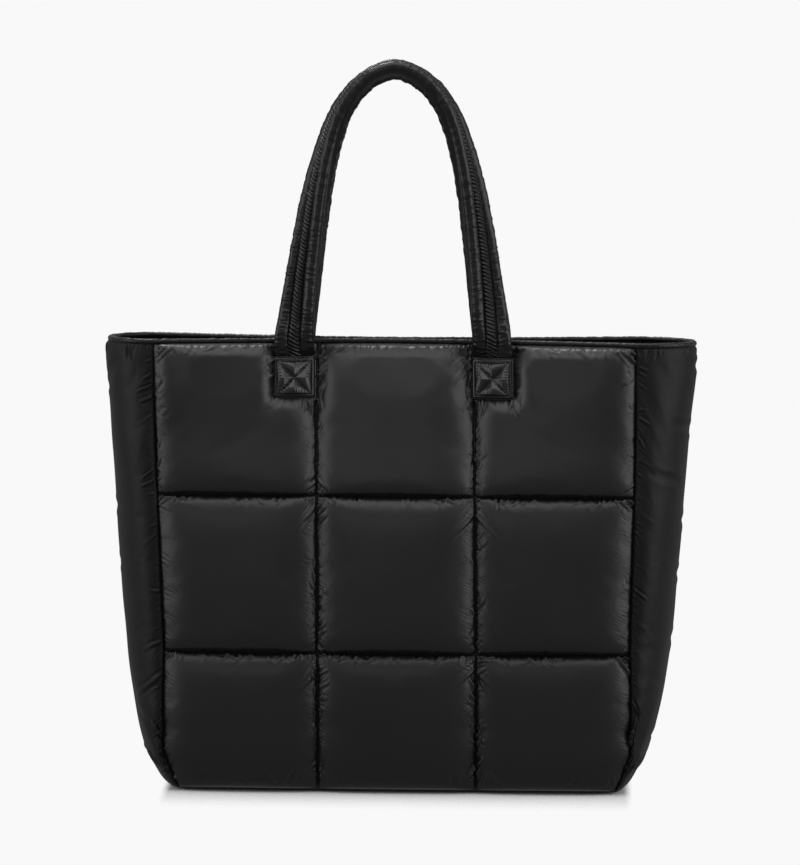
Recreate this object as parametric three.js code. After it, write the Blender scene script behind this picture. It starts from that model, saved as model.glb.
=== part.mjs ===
// A puffer tote bag, standing on its base with both handles up.
// Lengths are in millimetres. +Z is up, the front faces -Y, and the origin is on the floor under the bag's middle.
//
// The body is a padded wall: a quilted front and back, two plain padded sides and a padded base,
// each cut as its own panel and sewn to the next along a seam. A folded binding closes the top edge,
// and each handle is a twisted strap of three padded channels whose flat ends lie under square patches.

import * as THREE from 'three';

// Body
const rimHeight = 351; // floor to the top of the binding
const panelWidth = 376; // front and back panels, seam to seam, at the mouth
const sideFlare = 40; // how far each side panel stands out past the seams, at the mouth
const baseDepth = 132; // front seam to back seam, near the base
const mouthDepth = 84; // front seam to back seam, at the mouth
const mouthGap = 20; // front wall to back wall where the mouth is drawn together, in the middle
const panelBulge = 7; // how far the filled panels belly out between their seams
const mouthShift = -5; // the quilted panels lean this far to the left at the mouth
const foldPower = 1.8; // how sharply the panels fold in towards the drawn-together middle
const seamHeight = 8.6; // floor to the seam round the base

// Padding
const seamThickness = 3; // wall at a stitched seam
const cellPuff = 11; // how far a filled cell stands out from its seams, outside
const liningPuff = 4; // the same, inside
const sidePuff = 11;
const baseFill = 3; // how far the base's padding rises inside
const cellWidth = 123; // middle column of cells
const pressedMargin = 22; // the padding rises over this length away from a sewn-down patch

// Binding
const bindingHeight = 4.6;
const bindingWidth = 6;
const bindingRound = 1.2;

// Handles and patches
const handleSpacing = 154; // between the two ends of a handle, middle to middle
const handleRise = 209; // top of the binding to the middle of the strap at its highest point
const handleApart = 38; // front strap to back strap at their highest points, middle to middle
const strapWidth = 31.5;
const strapThickness = 13;
const middleChannel = 9; // width of the strap's middle channel, between its two rows of stitching
const tongueWidth = 28; // the flat end under the patch
const tongueThickness = 2;
const tongueEnd = 5; // the flat end stops this far above the patch's lower edge
const patchWidth = 34;
const patchHeight = 32;
const patchDrop = 13.5; // top of the binding to the patch's upper edge
const patchCloth = 1.4;
const patchPuff = 2;
const patchHem = 3; // patch edge to its row of stitching

const clearance = 0.3; // between neighbouring pieces
const seatGap = 0.5; // strap ends and patches stand this far off the curved wall

const wallTop = rimHeight - bindingHeight - clearance;
const wallHeight = wallTop - seamHeight;
const patchTop = rimHeight - patchDrop;
const patchBottom = patchTop - patchHeight;

// The body's horizontal sections, from the base seam up. height is a share of the wall's height,
// seam of half the panel's width, flare of sideFlare, taper of the way from the base's depth to the mouth's,
// bulge of panelBulge, and pinch of the way from the seams' depth to the drawn-together middle.
const sectionRows = [
  { height: 0.0, seam: 0.904, flare: 0.3, taper: 0.26, bulge: 0.3, pinch: 0 },
  { height: 0.05, seam: 0.96, flare: 0.09, taper: 0.1, bulge: 0.45, pinch: 0 },
  { height: 0.13, seam: 0.968, flare: 0.17, taper: 0.03, bulge: 0.7, pinch: 0 },
  { height: 0.32, seam: 0.965, flare: 0.43, taper: 0.08, bulge: 1, pinch: 0 },
  { height: 0.5, seam: 0.976, flare: 0.53, taper: 0.2, bulge: 0.8, pinch: 0 },
  { height: 0.66, seam: 0.987, flare: 0.59, taper: 0.4, bulge: 0.5, pinch: 0.04 },
  { height: 0.82, seam: 0.995, flare: 0.69, taper: 0.68, bulge: 0.3, pinch: 0.4 },
  { height: 1.0, seam: 1, flare: 1, taper: 1, bulge: 0, pinch: 1 },
];

// The rows of stitching across the front and back, as shares of the wall's height.
const quiltRows = [0, 0.3, 0.66, 1];

// One half of a handle, from the rim to its highest point. rise is a share of handleRise, span of half of
// handleSpacing, lean of the way from the rim to the highest point's depth, twist is in degrees,
// and width and fill are shares of the strap's width and thickness.
const handleRows = [
  { rise: 0.0, span: 1, lean: 0, twist: 2, width: 1, fill: 0.8 },
  { rise: 0.08, span: 0.975, lean: 0.12, twist: 12, width: 0.96, fill: 0.92 },
  { rise: 0.21, span: 0.929, lean: 0.3, twist: 28, width: 0.93, fill: 1 },
  { rise: 0.39, span: 0.859, lean: 0.5, twist: 43, width: 0.92, fill: 1 },
  { rise: 0.56, span: 0.78, lean: 0.68, twist: 56, width: 0.92, fill: 1 },
  { rise: 0.7, span: 0.687, lean: 0.82, twist: 68, width: 0.92, fill: 1 },
  { rise: 0.79, span: 0.606, lean: 0.9, twist: 74, width: 0.92, fill: 1 },
  { rise: 0.873, span: 0.495, lean: 0.95, twist: 80, width: 0.92, fill: 1 },
  { rise: 0.93, span: 0.374, lean: 0.98, twist: 84, width: 0.92, fill: 1 },
  { rise: 0.975, span: 0.215, lean: 1, twist: 87, width: 0.92, fill: 1 },
  { rise: 1.0, span: 0, lean: 1, twist: 88, width: 0.92, fill: 1 },
];

const fabric = { color: 0x1b1b1c, roughness: 0.42, metalness: 0 };

function smooth(low, high, value) {
  return THREE.MathUtils.smoothstep(value, low, high);
}

// A smooth curve through the rows of a table, read by the value of its first column.
function columnsOf(rows, names, key) {
  const keys = rows.map((row) => row[key]);
  const values = rows.flatMap((row) => names.map((name) => row[name]));
  const curve = new THREE.CubicInterpolant(keys, values, names.length);
  return (at) => {
    const read = curve.evaluate(at);
    return Object.fromEntries(names.map((name, i) => [name, read[i]]));
  };
}

const sectionAt = columnsOf(sectionRows, ['seam', 'flare', 'taper', 'bulge', 'pinch'], 'height');

// The body's section at a share of the wall's height, in millimetres.
function section(height) {
  const row = sectionAt(height);
  const seamX = (row.seam * panelWidth) / 2;
  const seamY = THREE.MathUtils.lerp(baseDepth, mouthDepth, row.taper) / 2;
  const pinched = ((mouthDepth - mouthGap) / 2) * row.pinch;
  return {
    shift: mouthShift * height ** 1.5,
    seamX,
    seamY,
    sideX: seamX + row.flare * sideFlare,
    middleY: seamY + row.bulge * panelBulge - pinched,
  };
}

// How far the quilted panels lean sideways at a height above the floor, and everything sewn to them too.
const leanAt = (z) => section(Math.min(1, heightShare(z))).shift;

function depthAt(x, height) {
  const { seamX, seamY, middleY } = section(height);
  return middleY + (seamY - middleY) * Math.min(1, Math.abs(x) / seamX) ** foldPower;
}

const heightShare = (z) => (z - seamHeight) / wallHeight;

// How full the padding is between two seams, from 0 at a seam to 1 in the middle.
function pillow(share, flatness) {
  return Math.sqrt(Math.max(0, 1 - Math.abs(2 * share - 1) ** flatness));
}

// 0 where a patch and strap press the padding flat, rising to 1 away from them.
function unpressed(x, z) {
  const sideways = Math.abs(Math.abs(x) - handleSpacing / 2) - patchWidth / 2 - clearance;
  const below = patchBottom - clearance - z;
  const away = Math.hypot(Math.max(0, sideways), Math.max(0, below));
  return smooth(0, pressedMargin, away);
}

// A closed slab: a segmented box whose vertices are moved by place(across, along, face),
// where face is 1 on the outer side and -1 on the inner side.
function slab(acrossStations, alongStations, place) {
  const across = acrossStations.length - 1;
  const along = alongStations.length - 1;
  const geometry = new THREE.BoxGeometry(1, 1, 1, across, along, 1);
  const corners = geometry.getAttribute('position');
  for (let i = 0; i < corners.count; i++) {
    const a = acrossStations[Math.round((corners.getX(i) + 0.5) * across)];
    const b = alongStations[Math.round((corners.getY(i) + 0.5) * along)];
    corners.setXYZ(i, ...place(a, b, Math.sign(corners.getZ(i))));
  }
  geometry.computeVertexNormals();
  return geometry;
}

function piece(name, geometry) {
  const mesh = new THREE.Mesh(geometry, new THREE.MeshStandardMaterial(fabric));
  mesh.name = name;
  return mesh;
}

const sorted = (stations) => [...new Set(stations)].sort((a, b) => a - b);
const mirrored = (stations) => sorted(stations.flatMap((s) => [-s, s]));

// Rows along the wall are counted in cells: 0 at the base seam, 3 at the rim.
function rowHeight(row) {
  const cell = Math.min(Math.floor(row), quiltRows.length - 2);
  return THREE.MathUtils.lerp(quiltRows[cell], quiltRows[cell + 1], row - cell);
}

function rowOf(height) {
  const cell = Math.min(quiltRows.findLastIndex((edge) => edge <= height), quiltRows.length - 2);
  return cell + (height - quiltRows[cell]) / (quiltRows[cell + 1] - quiltRows[cell]);
}

const cellRows = [0, 0.05, 0.18, 0.5, 0.82, 0.95];
const wallRows = sorted([
  ...[0, 1].flatMap((cell) => cellRows.map((share) => cell + share)),
  ...[2, 2.05, 2.18, 2.42],
  rowOf(heightShare(patchBottom - clearance)),
  rowOf(heightShare((patchBottom + patchTop) / 2)),
  rowOf(heightShare(patchTop)),
  3,
]);

// Columns across a panel are counted in cells from its middle: 0.5 at the first row of stitching, 1.5 at the seam.
function columnX(column, seamX) {
  const cells = Math.abs(column);
  const x = cells <= 0.5 ? cells * cellWidth : cellWidth / 2 + (cells - 0.5) * (seamX - cellWidth / 2);
  return Math.sign(column) * x;
}

function columnOf(x) {
  const edge = cellWidth / 2;
  return x <= edge ? x / cellWidth : 0.5 + (x - edge) / (panelWidth / 2 - edge);
}

const patchOuterEdge = (handleSpacing + patchWidth) / 2 + clearance;
const patchInnerEdge = (handleSpacing - patchWidth) / 2 - clearance;
const wallColumns = mirrored([
  0,
  0.25,
  0.4,
  columnOf(patchInnerEdge),
  0.5,
  columnOf(handleSpacing / 2),
  columnOf(patchOuterEdge),
  columnOf(patchOuterEdge + pressedMargin / 2),
  1.02,
  1.3,
  1.44,
  1.5,
]);

// A front (facing 1) or back (facing -1) panel, three cells by three.
function quiltedPanel(facing) {
  return slab(wallColumns, wallRows, (column, row, face) => {
    const height = rowHeight(row);
    const { shift, seamX } = section(height);
    const x = columnX(column, seamX);
    const z = seamHeight + height * wallHeight;
    const inCell = (place) => place - Math.floor(place);
    const fullness = pillow(inCell(column + 0.5), 2.6) * pillow(inCell(row), 2.6);
    const puff = face > 0 ? cellPuff * unpressed(x, z) : liningPuff;
    const depth = depthAt(x, height) + face * (seamThickness / 2 + puff * fullness);
    const inset = Math.abs(column) === 1.5 ? clearance / 2 : 0;
    return [facing * (x - Math.sign(x) * inset) + shift, -facing * depth, z];
  });
}

const sideStations = [-1, -0.94, -0.75, -0.4, 0, 0.4, 0.75, 0.94, 1];

// A right (facing 1) or left (facing -1) side panel, which rounds from the front seam to the back seam.
function sidePanel(facing) {
  return slab(sideStations, wallRows, (share, row, face) => {
    const height = rowHeight(row);
    const { shift, seamX, seamY, sideX } = section(height);
    const angle = (share * Math.PI) / 2;
    const seamAt = seamX + facing * shift + clearance / 2;
    const fullness = pillow((share + 1) / 2, 2.4) * pillow(height, 9);
    const offset = face * (seamThickness / 2 + (face > 0 ? sidePuff : liningPuff) * fullness);
    const x = seamAt + (sideX - seamAt + offset) * Math.cos(angle);
    const y = (seamY + offset) * Math.sin(angle);
    return [facing * x, facing * y, seamHeight + height * wallHeight];
  });
}

const baseColumns = mirrored([0.2, 0.6, 0.9, 0.97, 1]);
const baseRows = mirrored([0.3, 0.8, 0.93, 1]);

// The base: flat where it stands on the floor, with padded edges that turn up to the seam.
function basePanel() {
  const { seamX, seamY, sideX } = section(0);
  const seamTop = seamHeight - clearance;
  const reach = seamThickness / 2;
  return slab(baseColumns, baseRows, (p, q, face) => {
    const endX = seamX + (sideX - seamX) * Math.sqrt(1 - q * q);
    const x = p * (endX + reach);
    const y = q * (depthAt(p * endX, 0) + reach);
    const edge = Math.max(smooth(0.9, 1, Math.abs(p)), smooth(0.8, 1, Math.abs(q)));
    const inside = (1 - smooth(0.8, 0.96, Math.abs(p))) * (1 - smooth(0.7, 0.9, Math.abs(q)));
    const top = seamTop + baseFill * inside;
    const bottom = (seamTop - seamThickness) * edge;
    // The slab's outer face is its underside, so it is laid out from right to left.
    return [-x, y, face > 0 ? bottom : top];
  });
}

// The wall's middle line round the mouth, anticlockwise from above, moved outwards by offset.
function mouthOutline(offset) {
  const { shift, seamX, seamY, sideX } = section(1);
  const points = [];
  for (const facing of [1, -1]) {
    for (const column of wallColumns.slice(0, -1)) {
      const x = columnX(column, seamX);
      points.push(new THREE.Vector2(facing * x + shift, -facing * (depthAt(x, 1) + offset)));
    }
    const seamAt = seamX + facing * shift;
    for (const share of sideStations.slice(0, -1)) {
      const angle = (share * Math.PI) / 2;
      const x = seamAt + (sideX - seamAt + offset) * Math.cos(angle);
      points.push(new THREE.Vector2(facing * x, facing * (seamY + offset) * Math.sin(angle)));
    }
  }
  return points;
}

function rimBinding() {
  const half = bindingWidth / 2 - bindingRound;
  const ring = new THREE.Shape(mouthOutline(half));
  ring.holes.push(new THREE.Path(mouthOutline(-half)));
  const geometry = new THREE.ExtrudeGeometry(ring, {
    depth: bindingHeight - 2 * bindingRound,
    bevelSize: bindingRound,
    bevelThickness: bindingRound,
    bevelSegments: 1,
  });
  return geometry.translate(0, 0, wallTop + clearance + bindingRound);
}

// The rows of a whole handle, each a point of the strap's middle line with its twist, width and thickness.
// Its depth is how far it lies from the bag's middle plane, and hug is 1 where it lies along the curved wall.
function strapRows() {
  const spanX = handleSpacing / 2;
  const wallFace = (z) => depthAt(spanX, heightShare(z)) + seamThickness / 2 + seatGap;
  const flat = { x: spanX, twist: 0, width: tongueWidth, thickness: tongueThickness, hug: 1 };
  const tongueRow = (z) => ({ ...flat, z, depth: wallFace(z) + tongueThickness / 2 });
  const tongueLow = patchBottom + tongueEnd;
  const rimFace = depthAt(spanX, 1) + bindingWidth / 2 + clearance;
  const neck = patchTop + (rimHeight - patchTop) / 3;
  const neckThickness = strapThickness * 0.6;
  const rimDepth = Math.max(rimFace, wallFace(neck)) + (strapThickness * handleRows[0].fill) / 2;
  const lower = [
    tongueRow(tongueLow),
    tongueRow((tongueLow + patchTop) / 2),
    tongueRow(patchTop),
    { x: spanX, twist: 0, width: strapWidth, thickness: neckThickness, hug: 1, z: neck,
      depth: Math.max(rimFace, wallFace(patchTop)) + neckThickness / 2 },
  ];
  const upper = handleRows.map((row) => ({
    x: spanX * row.span,
    z: rimHeight + handleRise * row.rise,
    depth: THREE.MathUtils.lerp(rimDepth, handleApart / 2, row.lean),
    twist: THREE.MathUtils.degToRad(row.twist),
    width: strapWidth * row.width,
    thickness: strapThickness * row.fill,
    hug: row.lean === 0 ? 1 : 0,
  }));
  const half = [...lower, ...upper].map((row) => ({ ...row, x: -row.x }));
  return [...half, ...half.slice(0, -1).reverse().map((row) => ({ ...row, x: -row.x }))];
}

// Stations across the strap, as shares of its width, and its fullness there: three padded channels.
const groove = middleChannel / strapWidth / 2;
const channelEdges = [-0.5, -groove, groove, 0.5];
const strapStations = channelEdges.slice(0, -1).flatMap((edge, i) => {
  const width = channelEdges[i + 1] - edge;
  return [edge, edge + width * 0.25, edge + width * 0.75];
});
strapStations.push(0.5);

function channelFullness(across) {
  const channel = Math.min(2, channelEdges.findLastIndex((edge) => edge <= across));
  const share = (across - channelEdges[channel]) / (channelEdges[channel + 1] - channelEdges[channel]);
  return 0.4 + 0.6 * pillow(share, 2);
}

const strapSteps = 36;

function handle(facing) {
  const names = ['x', 'depth', 'z', 'twist', 'width', 'thickness', 'hug'];
  const rows = strapRows();
  let along = 0;
  rows.forEach((row, i) => {
    const last = rows[Math.max(0, i - 1)];
    along += Math.hypot(row.x - last.x, row.depth - last.depth, row.z - last.z);
    row.along = along;
  });
  const strapAt = columnsOf(rows, names, 'along');
  const point = ({ x, depth, z }) => new THREE.Vector3(x, -depth, z);
  // Each table row is a station, and the stretches between them are filled in evenly.
  const stations = rows.slice(1).flatMap((row, i) => {
    const start = rows[i].along;
    const length = row.along - start;
    const parts = Math.max(1, Math.round((length * strapSteps) / along));
    return Array.from({ length: parts }, (_, part) => start + (length * part) / parts);
  });
  stations.push(along);
  const near = 0.5;
  return slab(strapStations, stations, (across, at, face) => {
    const strap = strapAt(at);
    const middle = point(strap);
    const forward = point(strapAt(Math.min(at + near, along)));
    const behind = point(strapAt(Math.max(at - near, 0)));
    const tangent = forward.sub(behind).normalize();
    const front = new THREE.Vector3(0, -1, 0);
    front.addScaledVector(tangent, -front.dot(tangent)).normalize();
    const outwards = front.clone().cross(tangent);
    const [cos, sin] = [Math.cos(strap.twist), Math.sin(strap.twist)];
    const normal = front.clone().multiplyScalar(cos).addScaledVector(outwards, sin);
    const widthways = outwards.multiplyScalar(cos).addScaledVector(front, -sin);
    const flatTongue = strap.thickness <= tongueThickness + clearance;
    const fullness = flatTongue ? 1 : channelFullness(across);
    middle.addScaledVector(widthways, -across * strap.width);
    middle.addScaledVector(normal, (face * strap.thickness * fullness) / 2);
    const height = Math.min(1, heightShare(middle.z));
    middle.y -= strap.hug * (depthAt(middle.x, height) - depthAt(handleSpacing / 2, height));
    return [facing * middle.x + leanAt(middle.z), facing * middle.y, middle.z];
  });
}

const patchPlaces = mirrored([0, 0.18, 0.36, 0.5 - patchHem / patchWidth, 0.5]);

// A square patch over one end of a handle, sewn down along its hem and across both diagonals.
function patch(facing, side) {
  return slab(patchPlaces, patchPlaces, (across, along, face) => {
    const lateral = handleSpacing / 2 + side * across * patchWidth;
    const z = (patchBottom + patchTop) / 2 + along * patchHeight;
    const wall = depthAt(lateral, heightShare(z)) + seamThickness / 2;
    const atSide = Math.abs(across) === 0.5;
    const atHem = atSide || along === -0.5;
    const under = wall + seatGap + (atHem ? 0 : tongueThickness + clearance);
    const hemmed = Math.max(Math.abs(across), Math.abs(along)) >= patchPlaces.at(-2);
    const offDiagonal = Math.min(1, Math.abs(Math.abs(across) - Math.abs(along)) * 5);
    const puff = hemmed ? 0 : patchPuff * offDiagonal;
    const depth = face > 0 ? under + patchCloth + puff : under;
    return [facing * side * lateral + leanAt(z), -facing * depth, z];
  });
}

const bag = new THREE.Group();

for (const [facing, name] of [[1, 'front'], [-1, 'back']]) {
  bag.add(piece(`${name}_panel`, quiltedPanel(facing)));
  bag.add(piece(`${name}_handle`, handle(facing)));
  bag.add(piece(`${name}_patch_right`, patch(facing, facing)));
  bag.add(piece(`${name}_patch_left`, patch(facing, -facing)));
}
bag.add(piece('right_side', sidePanel(1)));
bag.add(piece('left_side', sidePanel(-1)));
bag.add(piece('base', basePanel()));
bag.add(piece('rim_binding', rimBinding()));

export default bag;
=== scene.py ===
# A padded black nylon tote bag that stands on a pale floor with its handles up.
# Lengths are in metres, +Z is up and the bag's front faces -Y.
import math

import bmesh
import bpy
import numpy as np
from mathutils import Matrix, Vector, noise


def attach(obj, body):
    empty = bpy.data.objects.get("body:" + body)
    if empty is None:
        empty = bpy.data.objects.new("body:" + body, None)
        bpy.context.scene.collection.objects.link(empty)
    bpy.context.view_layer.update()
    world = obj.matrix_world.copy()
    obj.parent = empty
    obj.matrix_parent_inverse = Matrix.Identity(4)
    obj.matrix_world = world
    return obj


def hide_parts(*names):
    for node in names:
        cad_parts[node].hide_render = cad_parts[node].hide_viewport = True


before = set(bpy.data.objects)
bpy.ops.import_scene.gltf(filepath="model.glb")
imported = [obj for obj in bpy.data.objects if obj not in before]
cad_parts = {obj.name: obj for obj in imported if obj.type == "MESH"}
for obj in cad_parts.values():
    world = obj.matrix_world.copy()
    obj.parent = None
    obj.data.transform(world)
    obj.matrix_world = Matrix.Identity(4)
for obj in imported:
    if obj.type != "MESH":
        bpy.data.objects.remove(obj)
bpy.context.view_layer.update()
scene = bpy.context.scene
draw = np.random.default_rng(11)  # every random choice comes from here


# Camera
view = {
    "aim": (-0.0010, 0.0, 0.2762),
    "distance": 5.0,
    "elevation": 4.6,  # degrees
    "azimuth": 1.3,
    "roll": 0.45,
    "frameHeight": 0.679,  # what the picture takes in at the bag
}


def makeCamera():
    data = bpy.data.cameras.new("camera")
    data.lens = data.sensor_width * view["distance"] / view["frameHeight"]
    data.clip_end = 50
    camera = bpy.data.objects.new("camera", data)
    scene.collection.objects.link(camera)
    turn, rise = math.radians(view["azimuth"]), math.radians(view["elevation"])
    back = Vector((math.sin(turn) * math.cos(rise), -math.cos(turn) * math.cos(rise), math.sin(rise)))
    camera.location = Vector(view["aim"]) + back * view["distance"]
    level = (-back).to_track_quat("-Z", "Y").to_matrix()
    camera.rotation_euler = (level @ Matrix.Rotation(math.radians(view["roll"]), 3, "Z")).to_euler()
    scene.camera = camera


makeCamera()
print("camera placed")


# Small helpers
def link(piece):
    scene.collection.objects.link(piece)
    return piece


def pieceFrom(name, bm):
    mesh = bpy.data.meshes.new(name)
    bm.to_mesh(mesh)
    bm.free()
    return link(bpy.data.objects.new(name, mesh))


def readThree(piece, source, field):
    # three numbers for each vertex
    flat = np.empty(len(piece.data.vertices) * 3)
    source.foreach_get(field, flat)
    return flat.reshape(-1, 3)


def readPoints(piece):
    return readThree(piece, piece.data.vertices, "co")


def readNormals(piece):
    return readThree(piece, piece.data.vertex_normals, "vector")


def readKept(piece, name):
    return readThree(piece, piece.data.attributes[name].data, "vector")


def writePoints(piece, points):
    piece.data.vertices.foreach_set("co", np.asarray(points).ravel())
    piece.data.update()


def keep(piece, name, *columns):
    # stores three columns of numbers with the vertices, for later steps and for the materials
    fields = piece.data.attributes
    field = fields.get(name) or fields.new(name, "FLOAT_VECTOR", "POINT")
    field.data.foreach_set("vector", stacked(*columns).astype(float).ravel())


def stacked(*columns):
    return np.stack(np.broadcast_arrays(*columns), axis=1)


def smoothStep(low, high, value):
    t = np.clip((value - low) / (high - low), 0, 1)
    return t * t * (3 - 2 * t)


def mix(a, b, share):
    return a + (b - a) * share


def throughTable(keys, values, at):
    # a smooth curve through the values of a table
    keys, values = np.array(keys, dtype=float), np.array(values, dtype=float)
    slopes = np.gradient(values, keys)
    i = np.clip(np.searchsorted(keys, at) - 1, 0, len(keys) - 2)
    span = keys[i + 1] - keys[i]
    t = np.clip((at - keys[i]) / span, 0, 1)
    ends = values[i] * (1 + 2 * t) * (1 - t) ** 2 + values[i + 1] * t * t * (3 - 2 * t)
    return ends + span * t * (1 - t) * (slopes[i] * (1 - t) - slopes[i + 1] * t)


def clothGrid(name, across, along):
    # a flat grid, with the place of each vertex on it from 0 to 1 both ways
    bm = bmesh.new()
    bmesh.ops.create_grid(bm, x_segments=across, y_segments=along, size=0.5)
    piece = pieceFrom(name, bm)
    at = readPoints(piece)
    return piece, at[:, 0] + 0.5, at[:, 1] + 0.5


def ripple(points, size, seed):
    # soft noise from -1 to 1, with bumps of about this size
    shift = Vector((seed * 7.3, seed * 3.1, seed * 5.7))
    return np.array([noise.noise(Vector(p) / size + shift) for p in points])


def pillow(share, flatness, rise=0.5):
    # 0 at both ends and 1 in the middle; the smaller the rise, the steeper the ends
    return np.clip(1 - np.abs(2 * share - 1) ** flatness, 0, 1) ** rise


# The wall of the bag
wall = {
    "rimHeight": 0.351,
    "seamHeight": 0.0086,  # floor to the seam round the base
    "panelWidth": 0.376,
    "sideFlare": 0.040,  # how far a side stands out past its seams
    "baseDepth": 0.132,
    "mouthDepth": 0.084,
    "mouthGap": 0.020,  # between the two faces in the middle of the mouth
    "bulge": 0.007,  # how far the faces bow out
    "lean": -0.005,  # how far to the side the mouth stands
    "foldPower": 1.8,  # the higher, the later the depth changes towards a side seam
    "seamThickness": 0.003,
    "cellPuff": 0.011,
    "liningPuff": 0.004,
    "sidePuff": 0.011,
    "cellWidth": 0.123,
    "quiltRows": (0, 0.3, 0.66, 1),
    "pressedMargin": 0.016,  # how far round a patch and its strap the filling is pressed
    "pressedPuff": 0.38,  # share of the filling that stays under a patch and its strap
    "pressedUneven": 0.55,  # how unevenly the margin runs, as a share of it
    "pressedSize": 0.011,
    "pressedCurve": 2.4,
    "tuck": 0.0016,  # how far the wall goes up inside the binding
    "tuckFrom": 0.985,  # share of the height
    "droop": 0.0066,  # how far the filled wall sinks over the base seam
    "droopTo": 0.04,
    "leanPower": 1.5,
    # sections from the base seam up, each a share of a size above
    "height": (0.0, 0.05, 0.13, 0.32, 0.5, 0.66, 0.82, 1.0),
    "seam": (0.904, 0.96, 0.968, 0.965, 0.976, 0.987, 0.995, 1.0),
    "flare": (0.3, 0.09, 0.17, 0.43, 0.53, 0.59, 0.69, 1.0),
    "taper": (0.26, 0.1, 0.03, 0.08, 0.2, 0.4, 0.68, 1.0),
    "swell": (0.3, 0.45, 0.7, 1.0, 0.8, 0.5, 0.3, 0.0),
    "pinch": (0.0, 0.0, 0.0, 0.0, 0.0, 0.04, 0.4, 1.0),
}
binding = {
    "height": 0.0046,
    "width": 0.006,
    "along": 900,
    "around": 12,
    "faceSteps": 120,
    "sideSteps": 60,
    "girth": 0.017,
    "squareness": 0.75,  # below 1 its section is boxier than an ellipse
    "creaseSpacing": 0.0042,  # of the slanting creases along it
    "crease": 0.05,  # their depth, as a share of its size
    "crumple": 0.14,  # and that of its uneven crumples
    "crumpleSize": 0.0035,
}
gap = 0.0003  # between neighbouring pieces
sewn = 0.0002  # how far pieces that are sewn together reach into each other

wallTop = wall["rimHeight"] - binding["height"] - gap
wallHeight = wallTop - wall["seamHeight"]

patchSize = {
    "width": 0.034,
    "height": 0.032,
    "drop": 0.0135,  # top of the binding to the patch's upper edge
    "spacing": 0.154,  # between the two patches, middle to middle
    "cloth": 0.0014,
    "puff": 0.0046,
    "hem": 0.0030,
    "seat": 0.0005,  # gap between the wall's seams and the underside
}
patchTop = wall["rimHeight"] - patchSize["drop"]
patchBottom = patchTop - patchSize["height"]


def section(height):
    row = {name: throughTable(wall["height"], wall[name], height) for name in
           ("seam", "flare", "taper", "swell", "pinch")}
    seamX = row["seam"] * wall["panelWidth"] / 2
    seamY = mix(wall["baseDepth"], wall["mouthDepth"], row["taper"]) / 2
    pinched = (wall["mouthDepth"] - wall["mouthGap"]) / 2 * row["pinch"]
    return {
        "seamX": seamX,
        "seamY": seamY,
        "sideX": seamX + row["flare"] * wall["sideFlare"],
        "middleY": seamY + row["swell"] * wall["bulge"] - pinched,
    }


def heightOnWall(height):
    z = wall["seamHeight"] + height * wallHeight + wall["tuck"] * smoothStep(wall["tuckFrom"], 1, height)
    return z - wall["droop"] * (1 - smoothStep(0, wall["droopTo"], height))


def leanAt(z):
    return wall["lean"] * np.clip(shareOfHeight(z), 0, 1) ** wall["leanPower"]


def depthAt(x, height):
    at = section(height)
    share = np.minimum(1, np.abs(x) / at["seamX"]) ** wall["foldPower"]
    return mix(at["middleY"], at["seamY"], share)


def shareOfHeight(z):
    return (z - wall["seamHeight"]) / wallHeight


def columnX(column, seamX):
    cells = np.abs(column)
    half = wall["cellWidth"] / 2
    x = np.where(cells <= 0.5, cells * wall["cellWidth"], half + (cells - 0.5) * (seamX - half))
    return np.sign(column) * x


def gatheredAt(place, cells, share):
    # moves a place from 0 to 1 so that a grid is finer beside each seam and coarser between them
    cell = place * cells
    return (cell - share * np.sin(2 * math.pi * cell) / (2 * math.pi)) / cells


def unpressed(x, z):
    # 0 where a patch and strap press on the padding, rising to 1 away from them
    sideways = np.abs(np.abs(x) - patchSize["spacing"] / 2) - patchSize["width"] / 2 - gap
    away = np.hypot(np.maximum(0, sideways), np.maximum(0, patchBottom - gap - z))
    uneven = ripple(stacked(x, z, 0), wall["pressedSize"], 71)
    share = np.minimum(1, away / (wall["pressedMargin"] * (1 + wall["pressedUneven"] * uneven)))
    return np.sqrt(1 - (1 - share) ** wall["pressedCurve"])


def seatAt(x):
    # how far a patch and its strap are held off the wall by the filling under them
    seamX = wall["cellWidth"] / 2
    place = np.clip((np.abs(x) - seamX) / (wall["panelWidth"] / 2 - seamX), 0, 1)
    full = pillow(place, quilt["flat"], quilt["rise"])
    return patchSize["seat"] + wall["pressedPuff"] * wall["cellPuff"] * quilt["topPuff"] * full


def addSlant(points):
    # everything above the base leans a little to the left
    moved = np.array(points)
    moved[:, 0] += leanAt(moved[:, 2])
    return moved


def turnRound(points):
    return np.asarray(points) * (-1, -1, 1)


def standing(points, facing):
    # from a piece's own front view to where it stands, facing 1 for the front and -1 for the back
    return addSlant(turnRound(points) if facing < 0 else points)


# Filling the cloth
fill = {
    "frames": 22,
    "quality": 5,
    "mass": 0.3,
    "stiffness": 15.0,
    "bending": 0.06,
    "damping": 15,
    "airDamping": 3,
    "most": 0.0155,  # how far the cloth may stand out from its seams
}


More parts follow.
